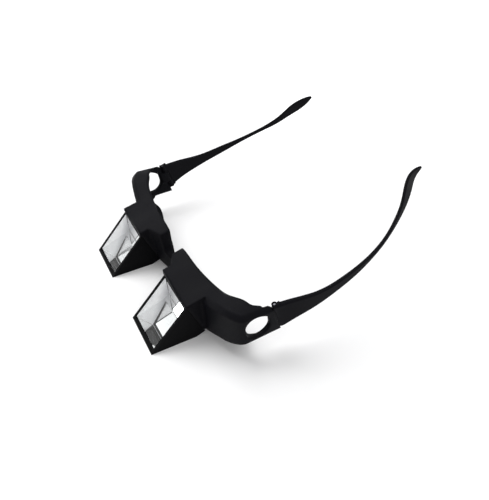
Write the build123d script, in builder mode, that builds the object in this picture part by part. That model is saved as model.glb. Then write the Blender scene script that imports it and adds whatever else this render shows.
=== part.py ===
from build123d import *
from math import cos, radians, sin, tan
import os

# Prism bed glasses, lying brow side down on a table as they are laid down after use.
# X is across the face, Y runs from the window edge back to the ear tips, Z is up.
# The origin is on the table, in the middle of the width and of the depth.

# Scale of the wearer
pupil_distance = 63.5

# Prism case: window rising from its edge on the table, flat base, open eye side
case_width = 28.3
window_length = 30.9
window_tilt = 47.1
base_length = 24.5
heel_setback = 5.0
heel_rise = 2.0
case_wall = 1.1
base_wall = 0.8
window_lip = 0.5
window_lip_depth = 0.4
window_border = 1.5

# Prism, its mirrored face and the ring that closes the case behind it
glass_gap = 0.1
mirror_thickness = 0.2
mirror_gap = 0.05
prism_nose_flat = 0.8
prism_bevel = 0.25
ring_thickness = 1.2
ring_spigot = 1.2
ring_width = 1.9
ring_gap = 0.08
ring_setdown = 0.9
spigot_inset = 1.3

# Front frame
half_width = 72.4
frame_height = 33.0
front_depth = 40.0
front_wall = 2.3
roof = 2.1
floor = 1.8
hood_side = 0.6
hood_overhang = 0.95
hood_wall = 1.9
seat_thickness = 1.3
nose_half_gap = 8.2
nose_flange = 2.2
nose_flare = 0.8
bridge_height = 13.0
bridge_round = 4.0
skin_front_y = 15.0
skin_rear_y = 68.0
rear_reference_z = 30.0
lug_hole_width = 13.4
lug_hole_height = 14.6
lug_hole_y = 45.3
lug_hole_z = 21.7
shoulder_bevel = 2.2

# Hinge: two barrels inside the skin of the temple root, a tongue on the lug, one screw
hinge_tilt = 18.5
side_lean = 4.0
butt_y = 55.7
butt_z = 22.9
butt_setback = 1.8
butt_gap = 0.1
hinge_skin = 0.6
knuckle_radius = 1.35
knuckle_gap = 0.12
tongue_height = 7.0
tongue_reach = 3.0
screw_radius = 0.6
screw_gap = 0.05
screw_head_radius = 0.95
screw_head_height = 0.7
screw_slot_width = 0.35
screw_slot_depth = 0.3
barrel_inset = 0.8
screw_inset = 0.3
notch_width = 2.0
notch_depth = 1.7

# Temple
temple_height = 18.4
temple_thickness = 3.0
temple_reach = 98.9
temple_rise = 42.2
temple_sweep = 20.3
temple_edge = 0.9
temple_edge_share = 0.3

overrun = 3.0

# Stations of the roof of the front, seen as it lies: share of the half width,
# then height shares at the front and at the rear end of the skin
roof_shares = [
    (-0.43, 0.686, 1.160),
    (-0.15, 0.686, 1.160),
    (0.15, 0.686, 1.160),
    (0.43, 0.686, 1.160),
    (0.66, 0.700, 1.095),
    (0.80, 0.830, 1.115),
    (0.91, 0.942, 1.025),
    (1.02, 1.000, 0.940),
]
# The same for its floor
floor_shares = [
    (-0.24, 0.106, -0.106),
    (0.00, 0.109, -0.050),
    (0.24, 0.106, -0.106),
    (0.43, 0.105, -0.075),
    (0.53, 0.098, -0.025),
    (0.59, 0.103, 0.028),
    (0.63, 0.126, 0.068),
    (0.67, 0.162, 0.102),
    (0.71, 0.200, 0.129),
    (0.76, 0.241, 0.159),
    (0.81, 0.272, 0.190),
    (0.86, 0.293, 0.230),
    (0.90, 0.308, 0.287),
    (0.94, 0.318, 0.352),
    (0.98, 0.312, 0.424),
    (1.02, 0.300, 0.500),
]
# Plan of the front face: shares of the half width and of the front depth, at the table and at the top
nose_line_low_shares = [(0.0, 0.830), (0.113, 0.790), (0.239, 0.745)]
nose_line_high_shares = [(0.0, 0.775), (0.113, 0.715), (0.239, 0.580)]
side_line_low_shares = [(0.64, 0.745), (0.75, 0.775), (0.86, 0.835), (0.95, 0.910), (1.0, 1.04)]
side_line_high_shares = [(0.64, 0.710), (0.75, 0.730), (0.86, 0.775), (0.95, 0.845), (1.0, 0.96)]
# Plan of the rear rim, which follows the face: at the table and at the rear reference height
rear_low_shares = [(0.0, 0.900), (0.12, 0.905), (0.24, 0.970), (0.40, 1.055), (0.55, 1.105),
                   (0.68, 1.145), (0.80, 1.185), (0.89, 1.095), (0.93, 1.085), (0.955, 1.135),
                   (0.97, 1.250)]
rear_high_shares = [(0.0, 0.855), (0.12, 0.870), (0.24, 0.872), (0.40, 0.880), (0.55, 0.915),
                    (0.68, 0.957), (0.80, 1.005), (0.89, 1.075), (0.93, 1.140), (0.955, 1.205),
                    (0.97, 1.310)]
# Outline of the hole in the lug from its rear corner round to the straight rear edge, as shares
lug_hole_shares = [(0.46, 0.30), (0.20, 0.45), (-0.08, 0.50), (-0.32, 0.42), (-0.47, 0.20),
                   (-0.43, -0.16), (-0.28, -0.44), (-0.02, -0.50), (0.26, -0.45), (0.46, -0.28),
                   (0.52, -0.05)]
# Temple stations: shares of reach, rise, sweep (inwards), root height, root thickness
temple_shares = [
    (0.000, 0.000, 0.000, 1.000, 1.00),
    (0.074, 0.027, -0.051, 0.790, 0.92),
    (0.145, 0.055, -0.094, 0.634, 0.85),
    (0.226, 0.080, -0.116, 0.473, 0.78),
    (0.306, 0.118, -0.108, 0.355, 0.72),
    (0.387, 0.169, -0.080, 0.293, 0.67),
    (0.468, 0.227, -0.035, 0.236, 0.63),
    (0.559, 0.303, 0.046, 0.163, 0.60),
    (0.650, 0.393, 0.165, 0.133, 0.57),
    (0.731, 0.492, 0.318, 0.147, 0.56),
    (0.780, 0.565, 0.434, 0.189, 0.56),
    (0.825, 0.651, 0.553, 0.236, 0.56),
    (0.860, 0.740, 0.669, 0.307, 0.56),
    (0.893, 0.833, 0.805, 0.374, 0.56),
    (0.932, 0.919, 0.935, 0.331, 0.54),
    (0.970, 0.970, 0.985, 0.208, 0.48),
    (0.998, 0.997, 0.995, 0.066, 0.36),
]

depth = butt_y + temple_reach
plan = Plane(origin=(0, -depth / 2, 0))
side_view = Plane(origin=(0, -depth / 2, 0), x_dir=(0, 1, 0), z_dir=(1, 0, 0))
front_view = Plane(origin=(0, -depth / 2, 0), x_dir=(1, 0, 0), z_dir=(0, -1, 0))


def place(x, y, z):
    # A point given from the window edge, in the part's own frame
    return Vector(x, y - depth / 2, z)


def inset_line(start, end, inset):
    # The line from start to end in the side view, moved to its left by the inset
    along = (Vector(*end) - Vector(*start)).normalized()
    return Vector(*start) + Vector(-along.Y, along.X) * inset, along


def meet(line_a, line_b):
    # Where two lines of the side view cross
    (p, d), (q, e) = line_a, line_b
    reach = ((q.X - p.X) * e.Y - (q.Y - p.Y) * e.X) / (d.X * e.Y - d.Y * e.X)
    crossing = p + d * reach
    return crossing.X, crossing.Y


def case_profile(base, heel, eye, window):
    # The wedge in the side view with each side moved inwards by its own inset
    base_side = inset_line(front_edge, heel_front, base)
    heel_side = inset_line(heel_front, heel_end, heel)
    eye_side = inset_line(heel_end, brow_edge, eye)
    window_side = inset_line(brow_edge, front_edge, window)
    return [meet(window_side, base_side), meet(base_side, heel_side),
            meet(heel_side, eye_side), meet(eye_side, window_side)]


def skin_block(stations, far_z, lift, straight):
    # Solid between a lofted skin across the front, moved up by lift, and a flat face at far_z;
    # the skin runs straight from station to station or in one smooth sweep
    with BuildPart() as block:
        for x_share, front_share, rear_share in stations:
            with BuildSketch(side_view.offset(x_share * half_width)):
                with BuildLine():
                    Polyline(
                        (skin_front_y, front_share * frame_height + lift),
                        (skin_rear_y, rear_share * frame_height + lift),
                        (skin_rear_y, far_z),
                        (skin_front_y, far_z),
                        close=True,
                    )
                make_face()
        loft(ruled=straight)
    return block.part


def side_at(z):
    # The side walls lean inwards towards the brow
    return half_width - (frame_height - z) * tan(radians(side_lean))


def front_outline(z, nose_line, side_line, inset):
    # Half plan of the front, all behind its outer face moved inwards: nose, seat of the case, wrap
    side_x = side_at(z) - inset
    nose = [(share[0] * side_x, share[1] * front_depth + inset) for share in nose_line]
    wrap = [(share[0] * side_x, share[1] * front_depth + inset) for share in side_line]
    Spline(*nose, tangents=[(1, 0), (nose[-1][0] - nose[-2][0], nose[-1][1] - nose[-2][1])])
    seat_line_y = seat_y + inset
    Polyline(nose[-1], (nose[-1][0], seat_line_y), (wrap[0][0], seat_line_y), wrap[0])
    Spline(*wrap, tangents=[(1, 0), (0, 1)], tangent_scalars=[1, 1])
    Polyline(wrap[-1], (side_x, skin_rear_y), (0, skin_rear_y), nose[0])


def rear_outline(z):
    # Plan of all that lies behind the rear rim at a height, up to the inner face of the lug
    rise = (rear_reference_z - z) / rear_reference_z
    inner_face_x = side_at(z) - front_wall
    curve = []
    for low, high in zip(rear_low_shares, rear_high_shares):
        y_share = high[1] + (low[1] - high[1]) * rise
        curve.append((high[0] * inner_face_x / rear_high_shares[-1][0], y_share * front_depth))
    Spline(*curve, tangents=[(1, 0), (0, 1)])
    Polyline(curve[-1], (inner_face_x, depth), (0, depth), curve[0])


half_pupil = pupil_distance / 2
case_near_x = half_pupil - case_width / 2
front_edge = (0.0, 0.0)
heel_front = (base_length, 0.0)
heel_end = (base_length + heel_setback, heel_rise)
brow_edge = (window_length * cos(radians(window_tilt)), window_length * sin(radians(window_tilt)))
seat_y = heel_end[0] + floor
eye_length = (Vector(*heel_end) - Vector(*brow_edge)).length

window_plane = Plane(
    origin=place(half_pupil, 0, 0),
    x_dir=(1, 0, 0),
    z_dir=(0, -sin(radians(window_tilt)), cos(radians(window_tilt))),
)
eye_down = (Vector(*heel_end) - Vector(*brow_edge)).normalized()
eye_plane = Plane(
    origin=place(half_pupil, *brow_edge),
    x_dir=(1, 0, 0),
    z_dir=(0, -eye_down.Y, eye_down.X),
)
hinge_back = Vector(0, cos(radians(hinge_tilt)), sin(radians(hinge_tilt)))
hinge_up = Vector(
    sin(radians(side_lean)),
    -sin(radians(hinge_tilt)) * cos(radians(side_lean)),
    cos(radians(hinge_tilt)) * cos(radians(side_lean)),
)
hinge_out = hinge_back.cross(hinge_up)
butt_face_x = side_at(butt_z)
temple_x = butt_face_x - temple_thickness / 2
hinge_x = butt_face_x - hinge_skin - knuckle_gap - knuckle_radius
hinge_y = butt_y + butt_setback * cos(radians(hinge_tilt))
hinge_z = butt_z + butt_setback * sin(radians(hinge_tilt))
hinge_plane = Plane(origin=place(hinge_x, hinge_y, hinge_z), x_dir=hinge_out, z_dir=hinge_up)
butt_plane = Plane(origin=place(temple_x, butt_y, butt_z), x_dir=hinge_out, z_dir=hinge_back)
butt_side = Plane(origin=place(temple_x, butt_y, butt_z), x_dir=hinge_back, z_dir=hinge_out)

# Prism case
with BuildPart() as prism_case:
    with BuildSketch(side_view.offset(case_near_x)):
        with BuildLine():
            Polyline(*case_profile(0, 0, 0, 0), close=True)
        make_face()
    extrude(amount=case_width)
    with BuildSketch(side_view.offset(case_near_x + case_wall)):
        with BuildLine():
            Polyline(*case_profile(base_wall, base_wall, -overrun, window_lip_depth), close=True)
        make_face()
    extrude(amount=case_width - 2 * case_wall, mode=Mode.SUBTRACT)
    with BuildSketch(window_plane):
        with Locations((0, (window_border + window_length + overrun) / 2)):
            Rectangle(
                case_width - 2 * (case_wall + window_lip),
                window_length + overrun - window_border,
            )
    extrude(amount=-window_lip_depth, mode=Mode.SUBTRACT)

# Glass prism, truncated at its sharp edge, with ground bevels
with BuildPart() as prism:
    prism_outline = case_profile(
        base_wall + mirror_thickness + mirror_gap,
        base_wall + glass_gap,
        ring_thickness,
        window_lip_depth,
    )
    prism_width = case_width - 2 * (case_wall + glass_gap)
    with BuildSketch(side_view.offset(half_pupil - prism_width / 2)):
        with BuildLine():
            Polyline(*prism_outline, close=True)
        make_face()
        chamfer(vertices().sort_by(Axis.X)[0], length=prism_nose_flat)
    extrude(amount=prism_width)
    chamfer(edges(), length=prism_bevel)

# Mirrored face under the prism
with BuildPart() as prism_mirror:
    mirror_seat = case_profile(
        base_wall, base_wall + glass_gap, ring_thickness, window_lip_depth
    )
    with BuildSketch(side_view.offset(half_pupil - prism_width / 2 + prism_bevel)):
        mirror_start = prism_outline[0][0] + prism_nose_flat + prism_bevel
        mirror_end = mirror_seat[1][0] - prism_bevel
        with Locations(((mirror_start + mirror_end) / 2, base_wall + mirror_thickness / 2)):
            Rectangle(mirror_end - mirror_start, mirror_thickness)
    extrude(amount=prism_width - 2 * prism_bevel)

# Ring behind the prism: its front half closes the case, its spigot sits in the frame
ring_outer_width = case_width - 2 * (case_wall + ring_gap)
ring_outer_height = eye_length - ring_setdown - base_wall - ring_gap
spigot_width = case_width + 2 * hood_side - 2 * (hood_wall + ring_gap)
spigot_height = ring_outer_height - 2 * spigot_inset
ring_middle = ring_setdown + ring_outer_height / 2
with BuildPart() as eye_ring:
    with BuildSketch(eye_plane):
        with Locations((0, ring_middle)):
            Rectangle(ring_outer_width, ring_outer_height)
    extrude(amount=-ring_thickness)
    with BuildSketch(eye_plane):
        with Locations((0, ring_middle)):
            Rectangle(spigot_width, spigot_height)
    extrude(amount=ring_spigot)
    with BuildSketch(eye_plane.offset(ring_spigot)):
        with Locations((0, ring_middle)):
            RectangleRounded(
                spigot_width - 2 * ring_width, spigot_height - ring_width, ring_width / 2
            )
    extrude(amount=-(ring_thickness + ring_spigot), mode=Mode.SUBTRACT)

# The small notch across the top of the butt, shared by lug and temple
with BuildPart() as butt_notch:
    with BuildSketch(butt_side.offset(-temple_thickness)):
        notch_top = temple_height / 2 + notch_depth
        with BuildLine():
            Polyline(
                (0, temple_height / 2 - notch_depth),
                (notch_width, notch_top),
                (-notch_width, notch_top),
                close=True,
            )
        make_face()
    extrude(amount=2 * temple_thickness)

# Half of the front frame
roof_cut = skin_block(roof_shares, 2 * frame_height, 0, False)
floor_cut = skin_block(floor_shares, -frame_height, 0, True)
ceiling_cut = skin_block(roof_shares, 2 * frame_height, -roof, True)
footing_cut = skin_block(floor_shares, -frame_height, floor, True)

with BuildPart() as hollow:
    for height, nose_line, side_line in (
        (0, nose_line_low_shares, side_line_low_shares),
        (frame_height, nose_line_high_shares, side_line_high_shares),
    ):
        with BuildSketch(plan.offset(height)):
            with BuildLine():
                front_outline(height, nose_line, side_line, front_wall)
            make_face()
            with Locations(((nose_half_gap + nose_flange + half_width) / 2, depth / 2)):
                Rectangle(half_width - nose_half_gap - nose_flange, depth, mode=Mode.INTERSECT)
    loft(ruled=True)
    seat_back = inset_line(heel_end, brow_edge, -seat_thickness)
    with BuildSketch(side_view.offset(case_near_x - hood_side + hood_wall)):
        with BuildLine():
            Polyline(
                meet(seat_back, inset_line(front_edge, heel_front, -overrun)),
                (skin_rear_y, -overrun),
                (skin_rear_y, frame_height),
                meet(seat_back, inset_line(front_edge, heel_front, frame_height)),
                close=True,
            )
        make_face()
    extrude(amount=case_width + 2 * (hood_side - hood_wall))
    add(ceiling_cut, mode=Mode.SUBTRACT)
    add(footing_cut, mode=Mode.SUBTRACT)
    with BuildSketch(eye_plane):
        with Locations((0, ring_middle)):
            Rectangle(spigot_width + 2 * ring_gap, spigot_height + 2 * ring_gap)
    extrude(amount=seat_thickness + overrun)

with BuildPart() as rear_block:
    for height in (-overrun, 2 * rear_reference_z):
        with BuildSketch(plan.offset(height)):
            with BuildLine():
                rear_outline(height)
            make_face()
    loft(ruled=True)

with BuildPart() as half_frame:
    for height, nose_line, side_line in (
        (0, nose_line_low_shares, side_line_low_shares),
        (frame_height, nose_line_high_shares, side_line_high_shares),
    ):
        with BuildSketch(plan.offset(height)):
            with BuildLine():
                front_outline(height, nose_line, side_line, 0)
            make_face()
    loft(ruled=True)
    add(roof_cut, mode=Mode.SUBTRACT)
    # The wrap rolls over into the roof
    wrap_share, reach_share = side_line_high_shares[len(side_line_high_shares) // 2]
    wrap_middle = place(wrap_share * half_width, reach_share * front_depth, frame_height)
    chamfer(edges().sort_by_distance(wrap_middle)[0], length=shoulder_bevel)
    with BuildSketch(side_view.offset(case_near_x - hood_side)):
        hood_front = brow_edge[0] - hood_overhang
        with BuildLine():
            Polyline(
                meet(inset_line(heel_end, brow_edge, 0), inset_line(front_edge, heel_front, -overrun)),
                (seat_y + floor, -overrun),
                (seat_y + floor, frame_height),
                (hood_front, frame_height),
                (hood_front, brow_edge[1]),
                brow_edge,
                close=True,
            )
        make_face()
    extrude(amount=case_width + 2 * hood_side)
    add(roof_cut, mode=Mode.SUBTRACT)
    add(floor_cut, mode=Mode.SUBTRACT)
    add(rear_block.part, mode=Mode.SUBTRACT)
    add(hollow.part, mode=Mode.SUBTRACT)

    # Gap for the nose, open upwards here
    with BuildSketch(front_view):
        with BuildLine():
            Polyline(
                (0, bridge_height),
                (nose_half_gap, bridge_height),
                (nose_half_gap + nose_flare, frame_height + overrun),
                (0, frame_height + overrun),
                close=True,
            )
        make_face()
        fillet(vertices().group_by(Axis.Y)[0].sort_by(Axis.X)[-1], radius=bridge_round)
    extrude(amount=-depth, mode=Mode.SUBTRACT)
    # Hole in the lug
    with BuildSketch(side_view.offset(side_at(0) - front_wall - overrun)):
        hole_points = [
            (lug_hole_y + share[0] * lug_hole_width, lug_hole_z + share[1] * lug_hole_height)
            for share in lug_hole_shares
        ]
        with BuildLine():
            Spline(*hole_points)
            Line(hole_points[-1], hole_points[0])
        make_face()
    extrude(amount=half_width, mode=Mode.SUBTRACT)
    # The lug ends at the butt, with the tongue of the hinge on it
    split(bisect_by=butt_plane, keep=Keep.BOTTOM)
    add(butt_notch.part, mode=Mode.SUBTRACT)
    with BuildSketch(hinge_plane.offset(-tongue_height / 2)):
        Circle(knuckle_radius)
        with Locations((0, -(butt_setback + tongue_reach) / 2)):
            Rectangle(2 * knuckle_radius, butt_setback + tongue_reach)
    extrude(amount=tongue_height)
    with Locations(hinge_plane):
        Hole(screw_radius + screw_gap)

# Temple: sections lofted from the butt to the ear tip
temple_points = [
    Vector(*place(
        temple_x - share[2] * temple_sweep,
        butt_y + share[0] * temple_reach,
        butt_z + share[1] * temple_rise,
    ))
    for share in temple_shares
]
with BuildPart() as temple:
    for index, share in enumerate(temple_shares):
        height = share[3] * temple_height
        thickness = share[4] * temple_thickness
        if index == 0:
            section_plane = butt_plane.offset(butt_gap)
        else:
            before = temple_points[index - 1]
            after = temple_points[min(index + 1, len(temple_points) - 1)]
            along = (after - before).normalized()
            across = (Vector(1, 0, 0) - along * along.X).normalized()
            section_plane = Plane(origin=temple_points[index], x_dir=across, z_dir=along)
        with BuildSketch(section_plane):
            Rectangle(thickness, height)
            chamfer(vertices(), min(temple_edge, temple_edge_share * min(height, thickness)))
    loft()
    # The inner front corner of the root is cut back, and the barrels stand in its place
    barrel_end = temple_height / 2 - barrel_inset
    screw_end = barrel_end - screw_inset
    slot_half = tongue_height / 2 + knuckle_gap
    with BuildSketch(hinge_plane.offset(-temple_height)):
        with Locations((-temple_thickness, -temple_thickness)):
            Rectangle(2 * temple_thickness, 2 * temple_thickness)
    extrude(amount=2 * temple_height, mode=Mode.SUBTRACT)
    with BuildSketch(hinge_plane.offset(-barrel_end)):
        Circle(knuckle_radius)
        with Locations((knuckle_radius / 2, knuckle_radius)):
            Rectangle(knuckle_radius, 2 * knuckle_radius)
    extrude(amount=2 * barrel_end)
    # Slot for the tongue, closed by the skin on the outside
    slot_side = knuckle_radius + knuckle_gap
    with BuildSketch(hinge_plane.offset(-slot_half)):
        with Locations((-overrun / 2, -overrun / 2)):
            Rectangle(2 * slot_side + overrun, 2 * slot_side + overrun)
    extrude(amount=2 * slot_half, mode=Mode.SUBTRACT)
    with Locations(hinge_plane):
        Hole(screw_radius + screw_gap)
    with BuildSketch(hinge_plane.offset(-screw_end + screw_head_height)):
        Circle(screw_head_radius + screw_gap)
    extrude(amount=-temple_height, mode=Mode.SUBTRACT)
    add(butt_notch.part, mode=Mode.SUBTRACT)

# Hinge screw: slotted head sunk in the brow end of the fork
with BuildPart() as hinge_screw:
    with BuildSketch(hinge_plane.offset(-screw_end)):
        Circle(screw_head_radius)
    extrude(amount=screw_head_height)
    with BuildSketch(hinge_plane.offset(-screw_end)):
        Circle(screw_radius)
    extrude(amount=2 * screw_end)
    with BuildSketch(hinge_plane.offset(-screw_end)):
        Rectangle(2 * screw_head_radius, screw_slot_width)
    extrude(amount=screw_slot_depth, mode=Mode.SUBTRACT)

with BuildPart() as front_frame:
    add(half_frame.part)
    mirror(about=Plane.YZ)

right_pieces = {
    "prism_case": prism_case,
    "prism": prism,
    "prism_mirror": prism_mirror,
    "eye_ring": eye_ring,
    "temple": temple,
    "hinge_screw": hinge_screw,
}
os.makedirs("parts", exist_ok=True)
for name, piece in right_pieces.items():
    piece.part.label = f"right_{name}"
    export_step(piece.part, f"parts/right_{name}.step")
    with BuildPart() as other_piece:
        mirror(piece.part, about=Plane.YZ)
    other_piece.part.label = f"left_{name}"
    export_step(other_piece.part, f"parts/left_{name}.step")
front_frame.part.label = "front_frame"
export_step(front_frame.part, "parts/front_frame.step")
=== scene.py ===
"""Prism bed glasses, lying brow side down on a white table.

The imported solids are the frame. This file gives each of them its moulded, ground, silvered or
turned finish, and sets the table, the lamps, the room and the camera. It adds no shape to the
glasses. Lengths are in metres and Z is up.
"""

import logging
from dataclasses import dataclass
from enum import Enum
from math import cos, radians, sin
from typing import Any

import bpy
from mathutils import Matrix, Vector

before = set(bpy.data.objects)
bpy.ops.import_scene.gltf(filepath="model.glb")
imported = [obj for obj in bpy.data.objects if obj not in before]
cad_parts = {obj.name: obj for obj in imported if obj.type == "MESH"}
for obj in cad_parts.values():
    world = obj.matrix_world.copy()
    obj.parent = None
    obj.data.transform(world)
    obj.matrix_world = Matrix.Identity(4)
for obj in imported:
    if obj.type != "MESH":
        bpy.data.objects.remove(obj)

LOG = logging.getLogger("prism_bed_glasses")
MM = 0.001

# A mix node has sockets for every kind of data. These are the numbers of its colour sockets.
MIX_SHARE, MIX_FIRST, MIX_SECOND, MIX_RESULT = 0, 6, 7, 2

# Noise of this roughness stays mostly within this range. Few layers look cloudy, many look crisp.
NOISE_ROUGHNESS = 0.55
NOISE_RANGE = (0.3, 0.7)
FEW_LAYERS, SOME_LAYERS, MANY_LAYERS = 2.0, 3.0, 4.0


class Side(Enum):
    """The wearer's two sides."""

    RIGHT = "right"
    LEFT = "left"


def linear(code: str) -> tuple[float, float, float, float]:
    """Turns an sRGB hex colour into the linear colour that a shader reads, by sRGB's own curve.

    Args:
        code: six hex digits, such as "0c0c0f".

    Returns:
        Red, green, blue and an alpha of one.
    """
    parts = [int(code[i : i + 2], 16) / 255 for i in (0, 2, 4)]
    red, green, blue = (c / 12.92 if c <= 0.04045 else ((c + 0.055) / 1.055) ** 2.4 for c in parts)
    return red, green, blue, 1.0


def add_node(
    tree: bpy.types.NodeTree,
    kind: str,
    sockets: dict[str | int, Any] | None = None,
    **settings: Any,
) -> bpy.types.Node:
    """Adds one node with its settings, values and links.

    Args:
        tree: the material's or world's node tree.
        kind: the node's type name.
        sockets: inputs by name or number, each a value or another node's output.
        **settings: properties of the node, such as operation.

    Returns:
        The new node.
    """
    made = tree.nodes.new(kind)
    for name, value in settings.items():
        setattr(made, name, value)
    for key, value in (sockets or {}).items():
        if isinstance(value, bpy.types.NodeSocket):
            tree.links.new(value, made.inputs[key])
        else:
            made.inputs[key].default_value = value
    return made


def new_material(name: str) -> tuple[bpy.types.Material, bpy.types.NodeTree, bpy.types.NodeSocket]:
    """Starts a material.

    Args:
        name: the material's name.

    Returns:
        The material, its emptied node tree and the output's surface socket.
    """
    material = bpy.data.materials.new(name)
    material.use_nodes = True
    tree = material.node_tree
    tree.nodes.clear()
    output = add_node(tree, "ShaderNodeOutputMaterial")
    return material, tree, output.inputs["Surface"]


def object_place(tree: bpy.types.NodeTree) -> bpy.types.NodeSocket:
    """The point in the piece's own coordinates, in metres.

    Args:
        tree: the material's node tree.

    Returns:
        The coordinates.
    """
    return add_node(tree, "ShaderNodeTexCoord").outputs["Object"]


def calculate(
    tree: bpy.types.NodeTree, operation: str, *values: float | bpy.types.NodeSocket
) -> bpy.types.NodeSocket:
    """Adds one step of arithmetic.

    Args:
        tree: the material's or world's node tree.
        operation: the maths node's operation.
        *values: its inputs in order.

    Returns:
        The result.
    """
    return add_node(tree, "ShaderNodeMath", dict(enumerate(values)), operation=operation).outputs[0]


def remap(
    tree: bpy.types.NodeTree,
    value: bpy.types.NodeSocket,
    source: tuple[float, float],
    target: tuple[float, float],
    curve: str = "LINEAR",
) -> bpy.types.NodeSocket:
    """Carries a number from one range to another and holds it at that range's ends.

    Args:
        tree: the material's or world's node tree.
        value: the number.
        source: first range.
        target: second range.
        curve: how it runs between the ends.

    Returns:
        The number in the second range.
    """
    sockets = {
        "Value": value,
        "From Min": source[0],
        "From Max": source[1],
        "To Min": target[0],
        "To Max": target[1],
    }
    made = add_node(tree, "ShaderNodeMapRange", sockets, interpolation_type=curve)
    return made.outputs["Result"]


def noise(
    tree: bpy.types.NodeTree, place: bpy.types.NodeSocket, grain: float, layers: float
) -> bpy.types.NodeSocket:
    """Even noise.

    Args:
        tree: the material's node tree.
        place: the coordinates.
        grain: size of one grain, in metres.
        layers: number of finer layers.

    Returns:
        The noise as a factor.
    """
    sockets = {"Vector": place, "Scale": 1 / grain, "Detail": layers, "Roughness": NOISE_ROUGHNESS}
    return add_node(tree, "ShaderNodeTexNoise", sockets).outputs["Fac"]


def between(
    tree: bpy.types.NodeTree, share: bpy.types.NodeSocket, first: str, second: str
) -> bpy.types.NodeSocket:
    """Colour between two hex tones.

    Args:
        tree: the material's node tree.
        share: nought for the first tone and one for the second.
        first: first tone.
        second: second tone.

    Returns:
        The mixed colour.
    """
    sockets = {MIX_SHARE: share, MIX_FIRST: linear(first), MIX_SECOND: linear(second)}
    return add_node(tree, "ShaderNodeMix", sockets, data_type="RGBA").outputs[MIX_RESULT]


def bumped(
    tree: bpy.types.NodeTree,
    height: bpy.types.NodeSocket,
    depth: float,
    strength: float,
    normal: bpy.types.NodeSocket | None = None,
) -> bpy.types.NodeSocket:
    """Fine relief on a surface.

    Args:
        tree: the material's node tree.
        height: the relief as a factor.
        depth: its full depth, in metres.
        strength: share of it that shows.
        normal: direction of the surface, where another node has changed it.

    Returns:
        The direction of the surface with its relief.
    """
    sockets = {"Height": height, "Distance": depth, "Strength": strength}
    if normal is not None:
        sockets["Normal"] = normal
    return add_node(tree, "ShaderNodeBump", sockets).outputs["Normal"]


def principled(tree: bpy.types.NodeTree, sockets: dict[str, Any]) -> bpy.types.NodeSocket:
    """Adds the general surface shader.

    Args:
        tree: the material's node tree.
        sockets: its inputs by name.

    Returns:
        The shader.
    """
    return add_node(tree, "ShaderNodeBsdfPrincipled", sockets).outputs[0]


def blend(
    tree: bpy.types.NodeTree,
    share: bpy.types.NodeSocket,
    first: bpy.types.NodeSocket,
    second: bpy.types.NodeSocket,
) -> bpy.types.NodeSocket:
    """Shader between two shaders.

    Args:
        tree: the material's node tree.
        share: nought for the first shader and one for the second.
        first: first shader.
        second: second shader.

    Returns:
        The mixed shader.
    """
    return add_node(tree, "ShaderNodeMixShader", {0: share, 1: first, 2: second}).outputs[0]


def backdrop_share(tree: bpy.types.NodeTree) -> bpy.types.NodeSocket:
    """Finds the rays that show the background: seen directly, through glass or in a shiny surface.

    Args:
        tree: the material's or world's node tree.

    Returns:
        One for such a ray and nought for a ray that only lights.
    """
    ray = add_node(tree, "ShaderNodeLightPath")
    share = ray.outputs["Is Camera Ray"]
    for kind in ("Is Transmission Ray", "Is Glossy Ray"):
        share = calculate(tree, "MAXIMUM", share, ray.outputs[kind])
    return share


@dataclass(frozen=True)
class MouldedPlastic:
    """Black polycarbonate, ABS or nylon, injection moulded in a finely spark-eroded mould.

    The eye gets a deep black with a faint wide sheen, soft corners and no sharp reflection. The
    mould's grain of about 0.08 mm is too fine to show, so it is drawn at 0.3 mm and shallow, and
    handling leaves long faint rubs along the part.
    """

    name: str
    corner: float
    dark: str = "0c0c0f"
    light: str = "121216"
    roughness: tuple[float, float] = (0.42, 0.52)
    refraction: float = 1.58
    specular: float = 0.03
    corner_samples: int = 8
    grain: float = 0.30 * MM
    grain_depth: float = 0.02 * MM
    grain_strength: float = 0.35
    cloud: float = 14.0 * MM
    rub: float = 0.9 * MM
    rub_stretch: float = 0.08

    def build(self) -> bpy.types.Material:
        """Builds the material.

        Returns:
            The finished material.
        """
        material, tree, surface = new_material(self.name)
        place = object_place(tree)
        cloud = noise(tree, place, self.cloud, MANY_LAYERS)
        stretched = {"Vector": place, "Scale": (1.0, self.rub_stretch, 1.0)}
        along = add_node(tree, "ShaderNodeMapping", stretched).outputs["Vector"]
        rubs = noise(tree, along, self.rub, FEW_LAYERS)
        wear = calculate(tree, "MULTIPLY", calculate(tree, "ADD", cloud, rubs), 0.5)
        soft = add_node(tree, "ShaderNodeBevel", {"Radius": self.corner}, samples=self.corner_samples)
        grain = bumped(
            tree,
            noise(tree, place, self.grain, SOME_LAYERS),
            self.grain_depth,
            self.grain_strength,
            soft.outputs["Normal"],
        )
        shader = principled(
            tree,
            {
                "Base Color": between(tree, cloud, self.dark, self.light),
                "Roughness": remap(tree, wear, NOISE_RANGE, self.roughness),
                "IOR": self.refraction,
                "Specular IOR Level": self.specular,
                "Normal": grain,
            },
        )
        tree.links.new(shader, surface)
        return material


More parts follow.
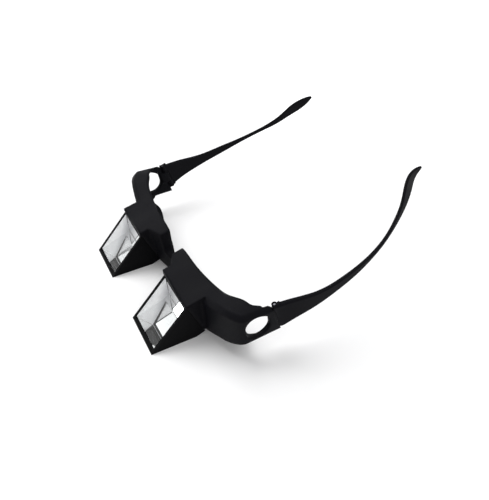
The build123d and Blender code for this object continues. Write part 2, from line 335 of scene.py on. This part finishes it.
@dataclass(frozen=True)
class MattRing:
    """ABS, moulded and left matt so that it throws no light into the prism: a flat, dull black."""

    name: str = "matt_black_abs"
    dark: str = "0f0f10"
    light: str = "161617"
    roughness: float = 0.75
    specular: float = 0.2
    cloud: float = 6.0 * MM
    grain: float = 0.35 * MM
    grain_depth: float = 0.03 * MM
    grain_strength: float = 0.5

    def build(self) -> bpy.types.Material:
        """Builds the material.

        Returns:
            The finished material.
        """
        material, tree, surface = new_material(self.name)
        place = object_place(tree)
        cloud = noise(tree, place, self.cloud, SOME_LAYERS)
        grain = noise(tree, place, self.grain, SOME_LAYERS)
        shader = principled(
            tree,
            {
                "Base Color": between(tree, cloud, self.dark, self.light),
                "Roughness": self.roughness,
                "Specular IOR Level": self.specular,
                "Normal": bumped(tree, grain, self.grain_depth, self.grain_strength),
            },
        )
        tree.links.new(shader, surface)
        return material


@dataclass(frozen=True)
class CrownGlass:
    """Crown glass: window and eye face polished, the two ends ground, base and heel silvered.

    The eye sees through the polished faces with a faint reflection and a mirror on the silvered
    faces. The ground ends are a pale frosted grey with a painted glow in place of the light inside
    the glass, and with painted shade that darkens them deeper behind the window.
    The pits of the ground ends, about 0.03 mm across, are drawn at 0.25 mm.
    """

    name: str = "polished_and_ground_crown_glass"
    clear: str = "fbfdfd"
    refraction: float = 1.52
    frost_near: str = "ececed"
    # The tone below is painted shade, which the ground ends darken to deeper behind the window.
    frost_painted_shade: str = "98989d"
    frost_roughness: float = 0.9
    frost_specular: float = 0.1
    # Painted glow: the ground ends glow in their own frosted tone, in place of light scattered inside
    # the glass.
    frost_painted_glow: float = 0.40
    # Span along the piece's Y over which the painted shade darkens the ground ends.
    shade: tuple[float, float] = (-59.5 * MM, -48.0 * MM)
    pit: float = 0.25 * MM
    pit_share: float = 0.44
    silver: str = "f1f2f2"
    silver_roughness: float = 0.02
    end_facing: float = 0.5
    base_facing: float = 0.9

    def ground(self, tree: bpy.types.NodeTree) -> bpy.types.NodeSocket:
        """Builds the frosted ends, with painted shade deeper behind the window and a painted glow.

        Args:
            tree: the material's node tree.

        Returns:
            The shader.
        """
        place = object_place(tree)
        pits = noise(tree, place, self.pit, MANY_LAYERS)
        depth = add_node(tree, "ShaderNodeSeparateXYZ", {0: place}).outputs["Y"]
        half = self.pit_share / 2
        # Painted shade: darker the deeper the point lies behind the window, with the pits' random
        # tone added.
        shade = remap(tree, depth, self.shade, (-half, 1 - half))
        share = calculate(tree, "MULTIPLY_ADD", pits, self.pit_share, shade)
        tone = between(tree, share, self.frost_near, self.frost_painted_shade)
        return principled(
            tree,
            {
                "Base Color": tone,
                "Roughness": self.frost_roughness,
                "Specular IOR Level": self.frost_specular,
                # Painted glow in the frosted tone, standing in for the light inside the glass.
                "Emission Color": tone,
                "Emission Strength": self.frost_painted_glow,
            },
        )

    def build(self) -> bpy.types.Material:
        """Builds the material.

        Returns:
            The finished material.
        """
        material, tree, surface = new_material(self.name)
        polished = principled(
            tree,
            {
                "Base Color": linear(self.clear),
                "Roughness": 0.0,
                "IOR": self.refraction,
                "Transmission Weight": 1.0,
            },
        )
        silver = principled(
            tree,
            {
                "Base Color": linear(self.silver),
                "Metallic": 1.0,
                "Roughness": self.silver_roughness,
            },
        )
        normal = add_node(tree, "ShaderNodeTexCoord").outputs["Normal"]
        facing = add_node(tree, "ShaderNodeSeparateXYZ", {0: normal})
        across, upright = (calculate(tree, "ABSOLUTE", facing.outputs[axis]) for axis in "XZ")
        at_end = calculate(tree, "GREATER_THAN", across, self.end_facing)
        at_base = calculate(tree, "GREATER_THAN", upright, self.base_facing)
        clear_or_ground = blend(tree, at_end, polished, self.ground(tree))
        tree.links.new(blend(tree, at_base, clear_or_ground, silver), surface)
        return material


@dataclass(frozen=True)
class BrightMetal:
    """A bright metal surface: silver under lacquer on glass, or turned stainless steel.

    The silver gives a clean mirror with the faintest haze, and the steel fine rings of light round
    the screw's end.
    """

    name: str
    tone: str
    grain: float
    roughness: tuple[float, float]

    def build(self) -> bpy.types.Material:
        """Builds the material.

        Returns:
            The finished material.
        """
        material, tree, surface = new_material(self.name)
        haze = noise(tree, object_place(tree), self.grain, SOME_LAYERS)
        shader = principled(
            tree,
            {
                "Base Color": linear(self.tone),
                "Metallic": 1.0,
                "Roughness": remap(tree, haze, NOISE_RANGE, self.roughness),
            },
        )
        tree.links.new(shader, surface)
        return material


def dress(node: str, material: bpy.types.Material) -> None:
    """Gives a solid its finish.

    Args:
        node: name of the solid.
        material: its finish.
    """
    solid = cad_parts[node]
    solid.data.materials.clear()
    solid.data.materials.append(material)
    LOG.info("dressed %s", node)


@dataclass
class FrontFrame:
    """The one-piece front: two hoods, the bridge and the lugs that carry the temples."""

    corner: float = 2.4 * MM

    def build(self) -> None:
        """Dresses the front."""
        dress("front_frame", MouldedPlastic("satin_black_polycarbonate", self.corner).build())


@dataclass
class PrismUnits:
    """Case, prism, silver layer and eye ring, once on each side."""

    case_corner: float = 0.3 * MM
    silver_haze: float = 3.0 * MM

    def build(self) -> None:
        """Dresses both units."""
        case = MouldedPlastic(
            "satin_black_abs", self.case_corner, dark="09090a", light="0e0e10"
        ).build()
        glass = CrownGlass().build()
        silver = BrightMetal(
            "lacquered_silver_layer", "e9eaea", self.silver_haze, (0.02, 0.06)
        ).build()
        ring = MattRing().build()
        for side in Side:
            dress(f"{side.value}_prism_case", case)
            dress(f"{side.value}_prism", glass)
            dress(f"{side.value}_prism_mirror", silver)
            dress(f"{side.value}_eye_ring", ring)


@dataclass
class Temples:
    """The two temples and the screws that they turn on."""

    corner: float = 0.7 * MM
    turning_mark: float = 0.12 * MM

    def build(self) -> None:
        """Dresses both temples and screws."""
        plastic = MouldedPlastic("satin_black_nylon", self.corner).build()
        steel = BrightMetal(
            "turned_stainless_steel", "5c5c60", self.turning_mark, (0.30, 0.50)
        ).build()
        for side in Side:
            dress(f"{side.value}_temple", plastic)
            dress(f"{side.value}_hinge_screw", steel)


@dataclass(frozen=True)
class Lamp:
    """A round soft lamp that points at the glasses."""

    name: str
    place: tuple[float, float, float]
    size: float
    power: float
    aim: tuple[float, float, float] = (0.0, -0.02, 0.01)

    def build(self) -> None:
        """Adds the lamp."""
        bpy.ops.object.light_add(type="AREA", location=self.place)
        lamp = bpy.context.object
        lamp.name = self.name
        lamp.data.shape = "DISK"
        lamp.data.size = self.size
        lamp.data.energy = self.power
        toward = Vector(self.aim) - Vector(self.place)
        lamp.rotation_euler = toward.to_track_quat("-Z", "Y").to_euler()


@dataclass
class Studio:
    """The white table, the soft lamps, the white room and the camera.

    Lengths are in metres, angles in degrees and lamp powers in watts. The camera's values were
    solved from the photograph. The table's own light, which only the camera, glass and shiny
    surfaces see, grows from table_lift beside the glasses to white further off, so that their
    shadow stays and the background is white.
    """

    table_size: float = 3.0
    table_dark: str = "f2f2f3"
    table_light: str = "f5f5f5"
    table_cloud: float = 17.0 * MM
    table_lift: float = 0.07
    fade: tuple[float, float] = (0.10, 0.40)
    white: str = "ffffff"
    room_low: float = 0.80
    room_high: float = 0.30
    azimuth: float = 61.36
    elevation: float = 40.28
    target: tuple[float, float, float] = (-0.00266, 0.00167, 0.0)
    distance: float = 0.30876
    lens: float = 36.0
    sensor: float = 36.0
    clip_start: float = 0.01
    lamps: tuple[Lamp, ...] = (
        Lamp("soft_lamp_behind", (-0.34, -0.14, 0.66), size=0.60, power=3.8),
        Lamp("soft_lamp_above", (0.20, 0.25, 0.80), size=0.80, power=2.2),
    )

    def lay_table(self) -> None:
        """Adds the table, white where it is seen and with the shadows kept."""
        bpy.ops.mesh.primitive_plane_add(size=self.table_size, location=(0, 0, 0))
        table = bpy.context.object
        table.name = "table"
        material, tree, surface = new_material("white_laminate_table")
        place = object_place(tree)
        cloud = noise(tree, place, self.table_cloud, FEW_LAYERS)
        tone = between(tree, cloud, self.table_dark, self.table_light)
        matt = add_node(tree, "ShaderNodeBsdfDiffuse", {"Color": tone}).outputs[0]
        away = add_node(tree, "ShaderNodeVectorMath", {0: place}, operation="LENGTH")
        lift = remap(tree, away.outputs["Value"], self.fade, (self.table_lift, 1.0), "SMOOTHSTEP")
        glow = {"Color": linear(self.white), "Strength": lift}
        light = add_node(tree, "ShaderNodeEmission", glow).outputs[0]
        seen = add_node(tree, "ShaderNodeAddShader", {0: matt, 1: light}).outputs[0]
        tree.links.new(blend(tree, backdrop_share(tree), matt, seen), surface)
        table.data.materials.append(material)

    def surround(self) -> None:
        """Adds the room: white where it is seen, and a softer light, strongest at the horizon."""
        world = bpy.data.worlds.new("white_room")
        bpy.context.scene.world = world
        world.use_nodes = True
        tree = world.node_tree
        tree.nodes.clear()
        direction = add_node(tree, "ShaderNodeTexCoord").outputs["Generated"]
        height = add_node(tree, "ShaderNodeSeparateXYZ", {0: direction}).outputs["Z"]
        light = remap(tree, height, (0.0, 1.0), (self.room_low, self.room_high))
        strength = calculate(tree, "MAXIMUM", light, backdrop_share(tree))
        glow = {"Color": linear(self.white), "Strength": strength}
        room = add_node(tree, "ShaderNodeBackground", glow).outputs[0]
        add_node(tree, "ShaderNodeOutputWorld", {"Surface": room})

    def place_camera(self) -> None:
        """Adds the camera at the photograph's viewing angle."""
        az, el = radians(self.azimuth), radians(self.elevation)
        back = Vector((sin(az) * cos(el), -cos(az) * cos(el), sin(el)))
        bpy.ops.object.camera_add(location=Vector(self.target) + back * self.distance)
        camera = bpy.context.object
        camera.name = "photo_camera"
        camera.rotation_euler = (-back).to_track_quat("-Z", "Y").to_euler()
        camera.data.sensor_fit = "AUTO"
        camera.data.sensor_width = self.sensor
        camera.data.lens = self.lens
        camera.data.clip_start = self.clip_start
        bpy.context.scene.camera = camera

    def build(self) -> None:
        """Builds the whole studio."""
        self.lay_table()
        for lamp in self.lamps:
            lamp.build()
        self.surround()
        self.place_camera()
        bpy.context.scene.view_settings.view_transform = "Standard"


def main() -> None:
    """Builds the classes in order."""
    logging.basicConfig(level=logging.INFO)
    # The loaded solids are selected, and an operator acts on all that is selected.
    for solid in bpy.context.selected_objects:
        solid.select_set(False)
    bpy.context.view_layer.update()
    for assembly in (FrontFrame(), PrismUnits(), Temples(), Studio()):
        assembly.build()
        LOG.info("built %s", type(assembly).__name__)


if __name__ == "__main__":
    main()
